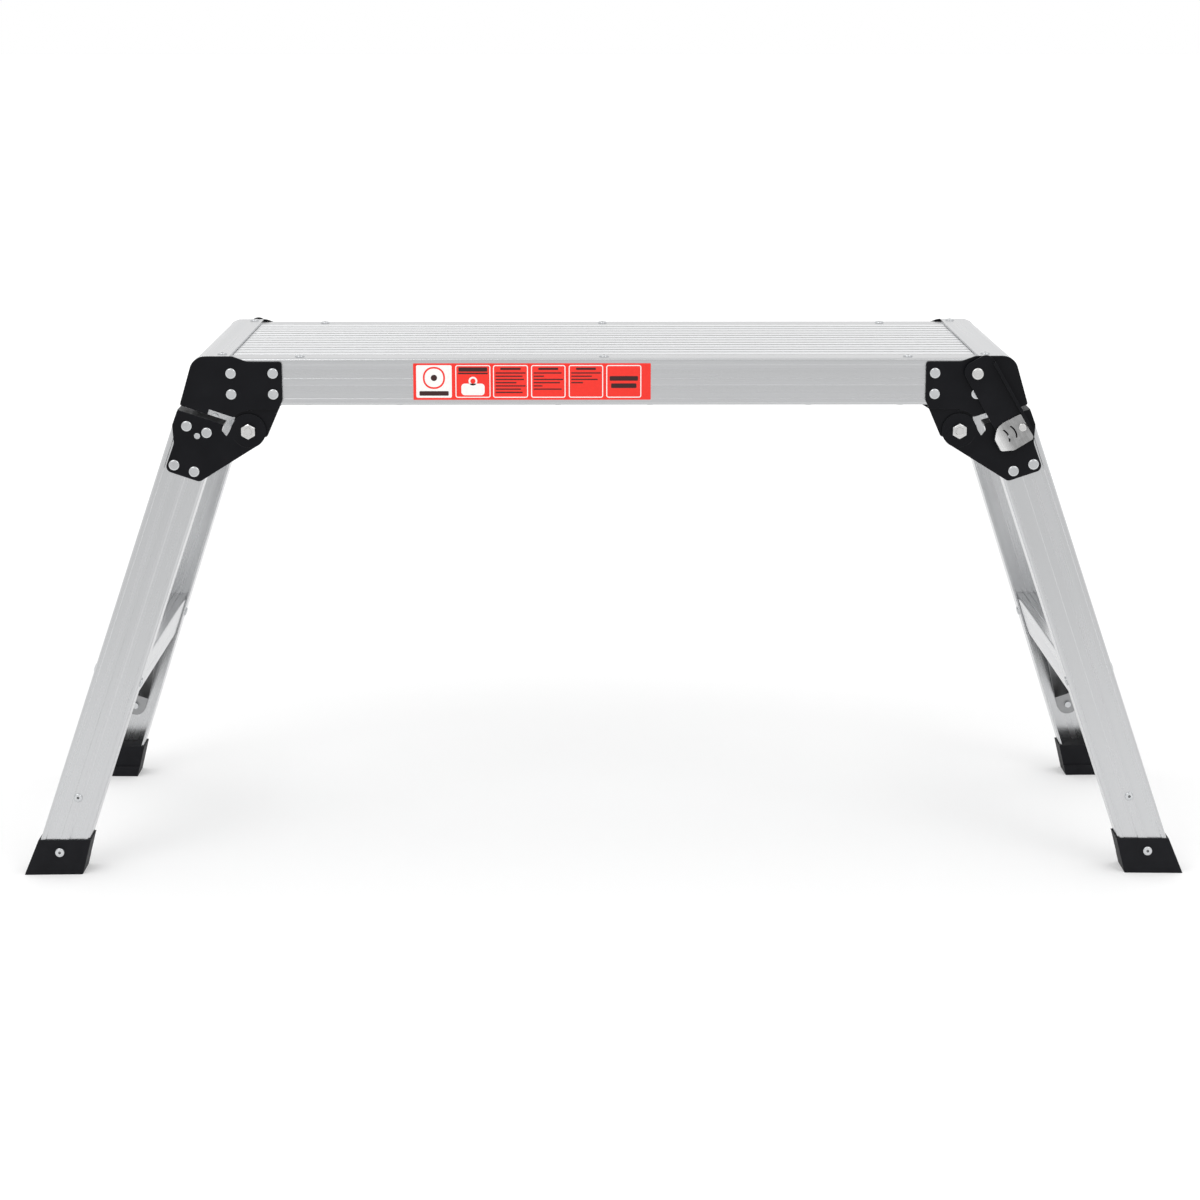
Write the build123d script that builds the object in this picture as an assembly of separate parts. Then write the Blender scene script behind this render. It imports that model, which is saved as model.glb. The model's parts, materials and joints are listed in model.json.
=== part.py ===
"""Folding aluminium work platform, a wide sawhorse with two fold-under leg frames.

Millimetres, +Z up. X runs along the deck, -Y is the front. The origin is on the ground, under the
middle of the deck. Each corner piece is drawn once, at the right front corner: the rear one is its
mirror image, and the left end is the right end turned half a turn about Z, so the two lock levers
sit diagonally across from each other.
"""

import math
import os

from build123d import *

# ---- driving dimensions -------------------------------------------------------------------------
DECK_TOP = 500.0            # height of the standing surface
RAIL_OUTER = 147.5          # half the width over the side rails
HINGE_X = 340.0
HINGE_Z = 430.5
LEG_ANGLE = 18.7            # degrees from vertical, seen from the front
SPLAY_ANGLE = 5.0           # degrees outwards, seen from the end
PLATE = 2.5                 # thickness of the pressed brackets and levers
PLAY = 0.1                  # gap between turning faces, and round each rivet's shank

# ---- side rails and cross members ---------------------------------------------------------------
RAIL_HEIGHT = 45.0
RAIL_DEPTH = 28.0
RAIL_HALF_LENGTH = 372.0
WALL = 2.0                  # of the extruded channels
BAND_STEP = 0.6             # depth of the shallow bands along each channel's face
RAIL_BAND = (3.2, 16.2)     # where a band starts and ends, from the middle of the face
RAIL_BOTTOM = DECK_TOP - RAIL_HEIGHT
RIVET_ROW = 134.0           # of the blind rivets along the rails, from the middle of the deck
MEMBER_X = (-240.0, 0.0, 240.0)
MEMBER_NAMES = ("left", "centre", "right")
MEMBER_HALF = 38.0
MEMBER_FOOT = 12.0
MEMBER_RIVET = MEMBER_HALF + MEMBER_FOOT / 2

# ---- deck planks --------------------------------------------------------------------------------
DECK_HALF_LENGTH = 356.5
DECK_HALF_WIDTH = RAIL_OUTER - RAIL_DEPTH
PLANK_RIBS = {"front": 4, "centre": 5, "rear": 4}
RIB_PITCH = 2 * DECK_HALF_WIDTH / sum(PLANK_RIBS.values())
PLANK_SEAM = 0.4
PLANK_SKIN = 2.6
PLANK_DEPTH = 21.0
PLANK_WEB = 1.8
PLANK_LIP = 8.0
GROOVE_WIDTH = 4.4
GROOVE_DEPTH = 1.3
LEDGE_REACH = 24.0          # how far an outer plank reaches in under the rail's top
DECK_RIVET_X = (-291.0, 0.0, 291.0)

# ---- end caps -----------------------------------------------------------------------------------
CAP_THICK = 2.5
CAP_RIVET_X = 365.0
CAP_CREST_X = 389.5
CAP_FOOT = (404.1, 456.0)
CAP_LIP = 10.0
CAP_BEND = 14.0

# ---- rail brackets ------------------------------------------------------------------------------
RAIL_RIVETS = ((315.5, 486.0), (355.5, 486.0), (315.5, 466.0), (355.5, 466.0))
PIVOT = RAIL_RIVETS[1]      # the lock lever turns here, in place of a rivet
BOLT_RADIUS = 4.0
LOBE_RADIUS = 16.5
RECESS_RADIUS = 19.5
JOGGLE_Z = 451.4
JOGGLE_WIDTH = 2.2
WINDOW_INNER = 16.9         # the see-through L beside the hinge, measured across the leg
WINDOW_OUTER = 42.0
WINDOW_TOP = 8.0
BRACKET_EDGE = 3.0          # the bracket's lower edge, above the hinge's radial line

# ---- legs and leg brackets ----------------------------------------------------------------------
LEG_WIDTH = 45.0
LEG_DEPTH = 28.0
LEG_BAND = (4.2, 17.6)
LEG_INNER = 26.0            # from the hinge to the leg's inner edge, across the leg
LEG_MIDDLE = LEG_INNER + LEG_WIDTH / 2
LEG_TOP = -6.0
LEG_END_Z = 5.0
BEND = 9.0                  # where the leg bracket bends outwards, below the hinge
FLANGE_TOP = -2.0
FLANGE_REACH = 25.0
NOTCH_OUTER = 24.5
NOTCH_FLOOR = -11.0
NOTCH_TIP = 18.6
LEG_RIVETS = ((37.5, -14.5), (57.5, -14.5), (37.5, -53.8), (57.5, -53.8))
STUD = (45.1, -20.3)
STUD_RADIUS = 3.0
STUD_SHORT = 2.0
STUD_LONG = 4.3             # reaches through the lock lever

# ---- foot shoes ---------------------------------------------------------------------------------
SHOE_WALL = 2.5
SHOE_TOP_Z = 34.0
SHOE_OUTLINE = ((24.4, -410), (72.6, -410), (72.6, -444), (75.7, -490), (19.5, -490), (24.4, -428))
SHOE_RIVET = (49.2, -450.0)
SHOE_FIT = 0.15
PAD_HEIGHT = 11.0
PAD_STEP = 2.0
TREAD_GROOVE = 1.5          # depth, width and pitch of the grooves in the sole
TREAD_WIDTH = 3.0
TREAD_PITCH = 9.0
TREAD_RIM = 4.0             # flat border left round them

# ---- steps and braces ---------------------------------------------------------------------------
STEP_TOP_Z = 203.0
STEP_FLOOR = -292.0
STEP_FIT = 0.3
STEP_RIVET = (-268.0, -14.0)
STEP_GROOVES = (-12.0, -6.0, 0.0, 6.0, 12.0)
BRACE_WIDTH = 22.0
BRACE_THICK = 2.4
BRACE_RIVET = -393.0
BRACE_BEND = -381.0
BRACE_RIVET_Y = 82.0        # where it meets the step, from the middle
BRACE_TAB = 13.0

# ---- lock lever ---------------------------------------------------------------------------------
LEVER_ANGLE = 30.2          # degrees from vertical
LEVER_LEFT = -11.3
LEVER_RIGHT = 20.0
LEVER_TOP = 12.5
LEVER_FOOT = -79.0
LEVER_TOE = -4.5
LEVER_STANDOFF = 3.2
LEVER_FLANGE = 5.0
SLOT_FIT = 0.35
TAB_THICK = 1.5
TAB_BEND = -7.0
TAB_RIVET = (12.5, -66.5)
TAB_ARC_RADIUS = 12.6       # two curved slots give the thumb some grip
TAB_ARC_X = (-15.8, -8.2)   # where each slot's arc is struck from
TAB_ARC_Y = -66.0
TAB_LIFT = 25.0             # degrees that the thumb lip bends out
SPRING_RADIUS = 7.4
SPRING_WIRE = 1.0
SPRING_START = -20.0        # degrees round the coil, from across the lever
SPRING_SWEEP = 211.3
SPRING_ARMS = (12.0, 18.0)

# ---- label --------------------------------------------------------------------------------------
LABEL_X = (-182.0, 44.5)
LABEL_Z = (460.2, 495.2)
LABEL_THICK = 0.3

FAR = 700.0                 # longer than the object, for trimming blocks


# ---- working planes -----------------------------------------------------------------------------
def turned_plane(x, z, out, angle):
    """A front-facing plane at a height, its x axis turned up by an angle; its z points forwards."""
    along = (math.cos(math.radians(angle)), 0, math.sin(math.radians(angle)))
    return Plane(origin=(x, -out, z), x_dir=along, z_dir=(0, -1, 0))


def bent_plane(plane, bend, angle):
    """A plane folded outwards below a line, with its coordinates unchanged along the fold."""
    cos, sin = math.cos(math.radians(angle)), math.sin(math.radians(angle))
    up = plane.y_dir * cos - plane.z_dir * sin
    out = plane.z_dir * cos + plane.y_dir * sin
    return Plane(origin=plane.from_local_coords((0, -bend, 0)) + up * bend, x_dir=plane.x_dir, z_dir=out)


RAIL_PLANE = turned_plane(0, 0, RAIL_OUTER, 0)
# On the hinge and leg planes x runs out across the leg and y runs up along it, from the hinge.
HINGE_PLANE = turned_plane(HINGE_X, HINGE_Z, RAIL_OUTER, LEG_ANGLE)
LEG_PLANE = bent_plane(HINGE_PLANE, BEND, SPLAY_ANGLE)
# On the lever plane x runs across the lever and y runs up along it, from its pivot.
LEVER_PLANE = turned_plane(PIVOT[0], PIVOT[1], RAIL_OUTER + PLATE + LEVER_STANDOFF, LEVER_ANGLE)
DECK_PLANE = Plane.XY.offset(DECK_TOP)
UNDER_PLANE = Plane(origin=(0, 0, RAIL_BOTTOM), x_dir=(1, 0, 0), z_dir=(0, 0, -1))


# ---- small helpers ------------------------------------------------------------------------------
def rounded(*corners):
    """A polygon whose corners are (x, y), or (x, y, radius) where one is rounded."""
    face = make_face(Polyline(*[corner[:2] for corner in corners], close=True))
    for x, y, radius in [corner for corner in corners if len(corner) == 3]:
        vertex = face.vertices().sort_by_distance(Vector(x, y, 0))[0]
        face = fillet(vertex, radius)
    return face


def plate(plane, sketch, low, high):
    """A sketch made solid between two distances along a plane's normal."""
    return extrude(plane.offset(low) * sketch, high - low)


def block(plane, low, high):
    """A box between two corners given in a plane's own coordinates."""
    size = [b - a for a, b in zip(low, high)]
    middle = [(a + b) / 2 for a, b in zip(low, high)]
    return plane.location * Pos(*middle) * Box(*size)


def level_slice(low, high):
    """Everything between two heights."""
    return block(Plane.XY, (-FAR, -FAR, low), (FAR, FAR, high))


def hole(plane, at, radius, depth):
    """A round cutter that passes a distance each way through a plane."""
    return plane.location * Pos(at[0], at[1], 0) * Cylinder(radius, 2 * depth)


def turned(plane, at, profile):
    """A half profile of (radius, height) points turned about an axis on a plane."""
    shape = revolve(Plane.XZ * make_face(Polyline(*profile, close=True)), Axis.Z)
    return plane.location * Pos(at[0], at[1], 0) * shape


def button(radius, height):
    """A low rivet head that stands on z = 0: a flat crown with a rounded, slightly sloped edge."""
    crown, foot = 0.62 * radius, 0.3 * height
    edge = ThreePointArc((radius, foot), (0.9 * radius, 0.82 * height), (crown, height))
    rest = Polyline((crown, height), (0, height), (0, 0), (radius, 0), (radius, foot))
    return revolve(Plane.XZ * make_face([edge, rest]), Axis.Z)


def rivet(plane, at, grip, head=5.3, height=2.2, shank=3.0, tail=4.2, tail_height=1.6):
    """A button-headed rivet: its head stands on the plane, and its tail is a grip below."""
    stem = Pos(0, 0, -(grip + 0.2) / 2 + 0.2) * Cylinder(shank, grip + 0.2)
    foot = Pos(0, 0, -grip - tail_height / 2) * Cylinder(tail, tail_height)
    return plane.location * Pos(at[0], at[1], 0) * (button(head, height) + stem + foot)


def blind_rivet(plane, at, grip, head=4.6):
    """A pull rivet: a low head with the hole that its mandrel leaves."""
    body = rivet(plane, at, grip, head=head, height=1.5, shank=2.4, tail=3.4, tail_height=3.0)
    return body - plane.location * Pos(at[0], at[1], 1.4) * Cylinder(1.3, 1.8)


def group(parts):
    """Separate solids kept together in one node."""
    return Compound(children=[solid for part in parts for solid in part.solids()])


def to_rear(shape):
    """The same piece on the rear side."""
    return mirror(shape, about=Plane.XZ)


def to_left(shape):
    """The same piece at the left end, half a turn round."""
    return Rot(0, 0, 180) * shape


def channel_section(width, depth, band):
    """A channel whose face has two shallow bands; x is across the face and y is outwards from it."""
    section = Pos(0, -depth / 2) * Rectangle(width, depth)
    section = fillet(section.vertices().group_by(Axis.Y)[-1], 2.5)
    section -= Pos(0, -WALL - depth / 2) * Rectangle(width - 2 * WALL, depth)
    middle, edge = band
    for side in (-1, 1):
        section -= Pos(side * (middle + edge) / 2, -BAND_STEP / 2) * Rectangle(edge - middle, BAND_STEP)
    return section


# ---- deck, rails and cross members --------------------------------------------------------------
def side_rail():
    """The front rail, a channel open inwards."""
    section = channel_section(RAIL_HEIGHT, RAIL_DEPTH, RAIL_BAND)
    start = (-RAIL_HALF_LENGTH, -RAIL_OUTER, DECK_TOP - RAIL_HEIGHT / 2)
    rail = extrude(Plane(origin=start, x_dir=(0, 0, 1), z_dir=(1, 0, 0)) * section, 2 * RAIL_HALF_LENGTH)
    for x, z in RAIL_RIVETS:
        for side in (-1, 1):
            rail -= hole(RAIL_PLANE, (side * x, z), 3.0 + PLAY, 5)
    for x in (*DECK_RIVET_X, -CAP_RIVET_X, CAP_RIVET_X):
        rail -= hole(DECK_PLANE, (x, -RIVET_ROW), 2.4 + PLAY, 5)
    for x in MEMBER_X:
        for side in (-1, 1):
            rail -= hole(UNDER_PLANE, (x + side * MEMBER_RIVET, RIVET_ROW), 2.4 + PLAY, 5)
    return rail


def plank(low, high, ribs, ledge):
    """One deck plank between two y values: a grooved skin with a web down each edge.

    A ledge of -1 or 1 adds the strip that reaches in under the front or the rear rail.
    """
    middle, width = (low + high) / 2, high - low
    section = Pos(middle, -PLANK_DEPTH / 2) * Rectangle(width, PLANK_DEPTH)
    hollow = PLANK_DEPTH - PLANK_SKIN - PLANK_WEB
    section -= Pos(middle, -PLANK_SKIN - hollow / 2) * Rectangle(width - 2 * PLANK_WEB, hollow)
    section -= Pos(middle, -PLANK_DEPTH) * Rectangle(width - 2 * PLANK_LIP, 2 * PLANK_WEB)
    for index in range(ribs + 1):
        groove = Rectangle(GROOVE_WIDTH, 2 * GROOVE_DEPTH)
        section -= Pos(low + index * width / ribs, 0) * groove
    if ledge:
        edge = low if ledge < 0 else high
        section += Pos(edge + ledge * LEDGE_REACH / 2, -1.5 * WALL) * Rectangle(LEDGE_REACH, WALL)
    end = Plane(origin=(-DECK_HALF_LENGTH, 0, DECK_TOP), x_dir=(0, 1, 0), z_dir=(1, 0, 0))
    board = extrude(end * section, 2 * DECK_HALF_LENGTH)
    for x in DECK_RIVET_X if ledge else ():
        board -= hole(DECK_PLANE, (x, ledge * RIVET_ROW), 2.4 + PLAY, 6)
    return board


def deck_planks():
    """The planks by name, laid side by side from the front rail to the rear rail."""
    planks = {}
    edge = -DECK_HALF_WIDTH
    for name, ledge in (("front", -1), ("centre", 0), ("rear", 1)):
        far_edge = edge + PLANK_RIBS[name] * RIB_PITCH
        low = edge if name == "front" else edge + PLANK_SEAM / 2
        high = far_edge if name == "rear" else far_edge - PLANK_SEAM / 2
        planks[name] = plank(low, high, PLANK_RIBS[name], ledge)
        edge = far_edge
    return planks


def cross_member(x):
    """A hat-shaped bearer under the planks, whose ends lie inside the rails."""
    low, high = RAIL_BOTTOM + WALL, DECK_TOP - PLANK_DEPTH
    reach = RAIL_OUTER - WALL - 0.5
    outside = MEMBER_HALF + MEMBER_FOOT
    hat = Polygon(
        (-outside, low), (-MEMBER_HALF + WALL, low), (-MEMBER_HALF + WALL, high - WALL),
        (MEMBER_HALF - WALL, high - WALL), (MEMBER_HALF - WALL, low), (outside, low),
        (outside, low + WALL), (MEMBER_HALF, low + WALL), (MEMBER_HALF, high),
        (-MEMBER_HALF, high), (-MEMBER_HALF, low + WALL), (-outside, low + WALL),
        align=None,
    )
    bearer = plate(turned_plane(x, 0, 0, 0), hat, -reach, reach)
    for side in (-1, 1):
        for row in (-RIVET_ROW, RIVET_ROW):
            bearer -= hole(UNDER_PLANE, (x + side * MEMBER_RIVET, row), 2.4 + PLAY, 6)
    return bearer


def end_cap():
    """The bent sheet over the right end of the deck, between the brackets."""
    half = RAIL_OUTER - 0.2
    inward = (-math.cos(math.radians(LEG_ANGLE)), -math.sin(math.radians(LEG_ANGLE)))
    lip_end = (CAP_FOOT[0] + CAP_LIP * inward[0], CAP_FOOT[1] + CAP_LIP * inward[1])
    crest = DECK_TOP + CAP_THICK / 2
    start = DECK_HALF_LENGTH + 0.3
    line = FilletPolyline((start, crest), (CAP_CREST_X, crest), CAP_FOOT, lip_end, radius=[CAP_BEND, 3.0])
    cap = plate(turned_plane(0, 0, 0, 0), trace(line, CAP_THICK), -half, half)
    for row in (-RIVET_ROW, RIVET_ROW):
        cap -= hole(DECK_PLANE, (CAP_RIVET_X, row), 2.4 + PLAY, 6)
    return cap


# ---- hinge brackets -----------------------------------------------------------------------------
def rail_bracket():
    """The pressed plate on the rail's end, set back round the hinge where the leg bracket turns."""
    def at(across, up):
        point = HINGE_PLANE.from_local_coords((across, up, 0))
        return (point.X, point.Z)

    face = rounded(
        (307, 460, 3), (307, 497, 3), (340, 497, 12), (354, 502.2, 12), (391.1, 502.2, 15),
        (*at(69.7, BRACKET_EDGE), 2), at(WINDOW_OUTER, BRACKET_EDGE), at(WINDOW_OUTER, WINDOW_TOP),
        at(WINDOW_INNER, WINDOW_TOP), (HINGE_X, HINGE_Z), (HINGE_X, JOGGLE_Z), (310.6, JOGGLE_Z),
    )
    bracket = plate(RAIL_PLANE, face, 0, PLATE)
    bracket -= hole(RAIL_PLANE, (HINGE_X, HINGE_Z), RECESS_RADIUS, FAR)
    back = -PLATE - PLAY
    joggle_top = JOGGLE_Z + JOGGLE_WIDTH
    recess = rounded(
        (309.8, joggle_top), (346, joggle_top), at(WINDOW_INNER, 13), at(15.5, 0),
        (HINGE_X, HINGE_Z - 10), (322.6, 424.6, 3),
    )
    bracket += plate(RAIL_PLANE, recess, back, -PLAY)
    corner = Circle(RECESS_RADIUS + 0.5) & Pos(15, WINDOW_TOP + 15) * Rectangle(30, 30)
    bracket += plate(HINGE_PLANE, corner, back, -PLAY)
    bracket += hole(RAIL_PLANE.offset(back + PLATE / 2), (HINGE_X, HINGE_Z), 15.5, PLATE / 2)
    straight = rounded((310.6, JOGGLE_Z), (HINGE_X, JOGGLE_Z), (HINGE_X, joggle_top), (309.8, joggle_top))
    bracket += plate(RAIL_PLANE, straight, back, PLATE)
    ring = Circle(RECESS_RADIUS + JOGGLE_WIDTH) - Circle(RECESS_RADIUS)
    turned_wall = plate(HINGE_PLANE, ring, back, PLATE)
    turned_wall -= block(HINGE_PLANE, (-FAR, -FAR, -9), (FAR, WINDOW_TOP, 9))
    turned_wall -= block(RAIL_PLANE, (HINGE_X - 99, 0, -9), (HINGE_X, FAR, 9))
    bracket += turned_wall
    bracket -= hole(RAIL_PLANE, (HINGE_X, HINGE_Z), BOLT_RADIUS + 0.08, 9)
    for x, z in RAIL_RIVETS:
        bracket -= hole(RAIL_PLANE, (x, z), 3.0 + PLAY, 9)
    return bracket


def leg_bracket():
    """The pressed plate on the leg's top: a flat lobe on the hinge, a lid, and a splayed tail."""
    face = rounded(
        (NOTCH_OUTER, FLANGE_TOP), (70.5, FLANGE_TOP, 2), (70.9, -18, 5), (64, -34, 12),
        (64.6, -61.5, 6), (29.5, -61.5, 6), (-12.2, -11.1), (0, 0), (WINDOW_INNER, 0),
        (WINDOW_INNER, FLANGE_TOP),
    )
    face -= rounded(
        (WINDOW_INNER, 9), (NOTCH_OUTER, 9), (NOTCH_OUTER, NOTCH_FLOOR + 3, 2.5),
        (NOTCH_TIP, NOTCH_FLOOR - 1, 0.8), (WINDOW_INNER, NOTCH_FLOOR + 6),
    )
    flat = face & Pos(0, 50 - BEND) * Rectangle(300, 100)
    tail = face & Pos(0, -BEND + 0.2 - 50) * Rectangle(300, 100)
    bracket = plate(HINGE_PLANE, flat, 0, PLATE) + plate(LEG_PLANE, tail, 0, PLATE)
    bracket -= hole(HINGE_PLANE, (0, 0), LOBE_RADIUS - 0.5, 9)
    bracket += plate(HINGE_PLANE, Circle(LOBE_RADIUS), 0, PLATE)
    flange = (NOTCH_OUTER + 0.5, FLANGE_TOP - PLATE, -FLANGE_REACH)
    bracket += block(HINGE_PLANE, flange, (70.5, FLANGE_TOP, 1))
    bracket -= hole(HINGE_PLANE, (0, 0), BOLT_RADIUS + 0.08, 9)
    for at in LEG_RIVETS:
        bracket -= hole(LEG_PLANE, at, 3.0 + PLAY, 9)
    return bracket - hole(LEG_PLANE, STUD, 2.0 + PLAY, 9)


def hinge_bolt():
    """A hexagon bolt through both brackets, its head just clear of the turning lobe."""
    seat, height, flats = PLATE + PLAY, 5.3, 13.0
    hexagon = RegularPolygon(flats / 2, 6, major_radius=False, rotation=30)
    head = plate(RAIL_PLANE, Pos(HINGE_X, HINGE_Z) * hexagon, seat, seat + height)
    across = flats / math.sqrt(3)
    crown = [(0, seat), (across, seat), (across, seat + height - 0.9), (flats / 2 - 0.4, seat + height),
             (0, seat + height)]
    head &= turned(RAIL_PLANE, (HINGE_X, HINGE_Z), crown)
    head -= turned(RAIL_PLANE, (HINGE_X, HINGE_Z), [(0, seat + height - 0.6), (3.6, seat + height - 0.6),
                                                    (4.2, seat + height), (0, seat + height)])
    end = -PLATE - PLAY - 9.5
    shank = [(0, seat + 0.5), (BOLT_RADIUS, seat + 0.5), (BOLT_RADIUS, end + 0.8), (BOLT_RADIUS - 0.8, end),
             (0, end)]
    return head + turned(RAIL_PLANE, (HINGE_X, HINGE_Z), shank)


def hinge_nut():
    """The lock nut behind the rail bracket, on a washer."""
    seat = -PLATE - PLAY
    ring = plate(RAIL_PLANE, Pos(HINGE_X, HINGE_Z) * Circle(8.0), seat - 1.2, seat)
    hexagon = RegularPolygon(6.5, 6, major_radius=False)
    nut = plate(RAIL_PLANE, Pos(HINGE_X, HINGE_Z) * hexagon, seat - 8.0, seat - 1.2)
    bore = hole(RAIL_PLANE, (HINGE_X, HINGE_Z), BOLT_RADIUS + PLAY, 30)
    return (ring + nut) - bore


# ---- legs and feet ------------------------------------------------------------------------------
def along_leg(section, top, length):
    """A section, drawn across the leg from its middle, run down along the leg."""
    start = LEG_PLANE.from_local_coords((LEG_MIDDLE, top, 0))
    return extrude(Plane(origin=start, x_dir=LEG_PLANE.x_dir, z_dir=-LEG_PLANE.y_dir) * section, length)


def leg():
    """One leg, a channel open inwards, cut level above the ground inside its shoe."""
    channel = along_leg(channel_section(LEG_WIDTH, LEG_DEPTH, LEG_BAND), LEG_TOP, 500)
    channel &= level_slice(LEG_END_Z, FAR)
    for at in LEG_RIVETS:
        channel -= hole(LEG_PLANE, at, 3.0 + PLAY, 6)
    channel -= hole(LEG_PLANE, STUD, 2.0 + PLAY, 6)
    for at in ((LEG_MIDDLE, BRACE_RIVET), SHOE_RIVET):
        channel -= hole(LEG_PLANE, at, 2.4 + PLAY, 6)
    for side in (-1, 1):
        channel -= hole(flange_plane(side), (0, 0), 2.4 + PLAY, 6)
    return channel


def flange_plane(side):
    """A plane on the leg's inner (-1) or outer (1) edge, at the step's rivet, facing away."""
    up, out = STEP_RIVET
    start = LEG_PLANE.from_local_coords((LEG_MIDDLE + side * LEG_WIDTH / 2, up, out))
    return Plane(origin=start, x_dir=LEG_PLANE.z_dir, z_dir=LEG_PLANE.x_dir * side)


def foot_shoe():
    """A plastic shoe on the leg's end, filled inside the channel, with a ribbed level sole."""
    deep = -LEG_DEPTH - SHOE_WALL
    shoe = plate(LEG_PLANE, rounded(*SHOE_OUTLINE), deep, SHOE_WALL)
    edges = [edge for edge in shoe.edges() if LEG_PLANE.to_local_coords(edge.center()).Z > SHOE_WALL - 0.1]
    shoe = fillet([edge for edge in edges if edge.length > 30 and abs(edge.tangent_at(0.5).Y) > 0.03], 1.6)
    shoe &= level_slice(0, SHOE_TOP_Z)
    pad = plate(LEG_PLANE, rounded(*SHOE_OUTLINE), deep - PAD_STEP, deep + 1) & level_slice(0, PAD_HEIGHT)
    shoe += pad
    socket = Pos(0, -LEG_DEPTH / 2) * Rectangle(LEG_WIDTH + 2 * SHOE_FIT, LEG_DEPTH + 2 * SHOE_FIT)
    core = Rectangle(LEG_WIDTH - 2 * WALL - 2 * SHOE_FIT, LEG_DEPTH)
    socket -= Pos(0, -WALL - SHOE_FIT - LEG_DEPTH / 2) * core
    shoe -= along_leg(socket, -400, 100) & level_slice(LEG_END_Z - 0.1, FAR)
    shoe -= hole(LEG_PLANE.offset(SHOE_WALL), SHOE_RIVET, 2.4 + PLAY, 8)
    shoe -= hole(LEG_PLANE.offset(-WALL - 3), SHOE_RIVET, 3.6, 3.1)
    sole = shoe.faces().sort_by(Axis.Z)[0]
    size, middle = sole.bounding_box().size, sole.bounding_box().center()
    count = int((size.X - 2 * TREAD_RIM - TREAD_WIDTH) / TREAD_PITCH)
    for index in range(count + 1):
        x = middle.X + (index - count / 2) * TREAD_PITCH
        shoe -= Pos(x, middle.Y, 0) * Box(TREAD_WIDTH, size.Y - 2 * TREAD_RIM, 2 * TREAD_GROOVE)
    return shoe


# ---- step and braces ----------------------------------------------------------------------------
def step():
    """The hollow step between the two legs: level on top, its sides and floor square to the legs."""
    def at_height(across, z):
        climb = (z - HINGE_Z) * math.sin(math.radians(LEG_ANGLE))
        return (HINGE_X + (across - climb) / math.cos(math.radians(LEG_ANGLE)), z)

    def at_floor(across):
        point = HINGE_PLANE.from_local_coords((across, STEP_FLOOR, 0))
        return (point.X, point.Z)

    inner = LEG_INNER + WALL + STEP_FIT
    outer = LEG_INNER + LEG_WIDTH - WALL - STEP_FIT
    corners = [at_height(inner, STEP_TOP_Z), at_height(outer, STEP_TOP_Z), at_floor(outer), at_floor(inner)]
    section = rounded(*[(*corner, 2.0) for corner in corners])
    section -= offset(rounded(*corners), -WALL)
    middle = (corners[0][0] + corners[1][0]) / 2
    for x in STEP_GROOVES:
        section -= Pos(middle + x, STEP_TOP_Z) * Rectangle(2.2, 1.4)
    tread = plate(turned_plane(0, 0, 0, 0), section, -FAR / 4, FAR / 4)
    beyond = block(LEG_PLANE, (-FAR, -FAR, -WALL - PLAY), (FAR, FAR, FAR / 2))
    tread -= beyond
    tread -= to_rear(beyond)
    for side in (-1, 1):
        cutter = hole(flange_plane(side), (0, 0), 2.4 + PLAY, 6)
        tread -= cutter
        tread -= to_rear(cutter)
    cutter = hole(step_floor_plane(), (0, 0), 2.4 + PLAY, 6)
    return tread - cutter - to_rear(cutter)


def step_floor_plane():
    """A plane on the brace's upper tab, under the step's floor, facing down along the leg."""
    start = HINGE_PLANE.from_local_coords((LEG_MIDDLE, STEP_FLOOR - BRACE_THICK, BRACE_RIVET_Y - RAIL_OUTER))
    return Plane(origin=start, x_dir=HINGE_PLANE.x_dir, z_dir=-HINGE_PLANE.y_dir)


def brace():
    """A bent strip from the leg, near its foot, up to the floor of the step."""
    low, high = -WALL - PLAY - BRACE_THICK, -WALL - PLAY
    tab = Pos(LEG_MIDDLE, BRACE_RIVET) * Circle(BRACE_WIDTH / 2)
    tab_length = BRACE_BEND - BRACE_RIVET
    tab += Pos(LEG_MIDDLE, BRACE_RIVET + tab_length / 2) * Rectangle(BRACE_WIDTH, tab_length)
    strip = plate(LEG_PLANE, tab, low, high)

    start = LEG_PLANE.from_local_coords((LEG_MIDDLE, BRACE_BEND, (low + high) / 2))
    side_plane = Plane(origin=HINGE_PLANE.from_local_coords((LEG_MIDDLE, 0, -RAIL_OUTER)),
                       x_dir=(0, -1, 0), z_dir=HINGE_PLANE.x_dir)
    first = side_plane.to_local_coords(start)
    rise = -STEP_FLOOR + BRACE_THICK / 2
    line = FilletPolyline((first.X, first.Y), (BRACE_RIVET_Y + BRACE_TAB, rise),
                          (BRACE_RIVET_Y - BRACE_TAB, rise), radius=5)
    half = BRACE_WIDTH / 2
    strip += plate(side_plane, trace(line, BRACE_THICK), -half, half)
    strip += plate(side_plane, Pos(first.X, first.Y) * Circle(BRACE_THICK / 2), -half, half)
    strip -= hole(LEG_PLANE, (LEG_MIDDLE, BRACE_RIVET), 2.4 + PLAY, 9)
    return strip - hole(step_floor_plane(), (0, 0), 2.4 + PLAY, 6)


# ---- lock lever ---------------------------------------------------------------------------------
def stud_on_lever():
    """Where the lock stud's tip comes, on the lever's plane."""
    tip = LEG_PLANE.from_local_coords((*STUD, PLATE + STUD_LONG - 1))
    return LEVER_PLANE.to_local_coords(tip)


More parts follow.
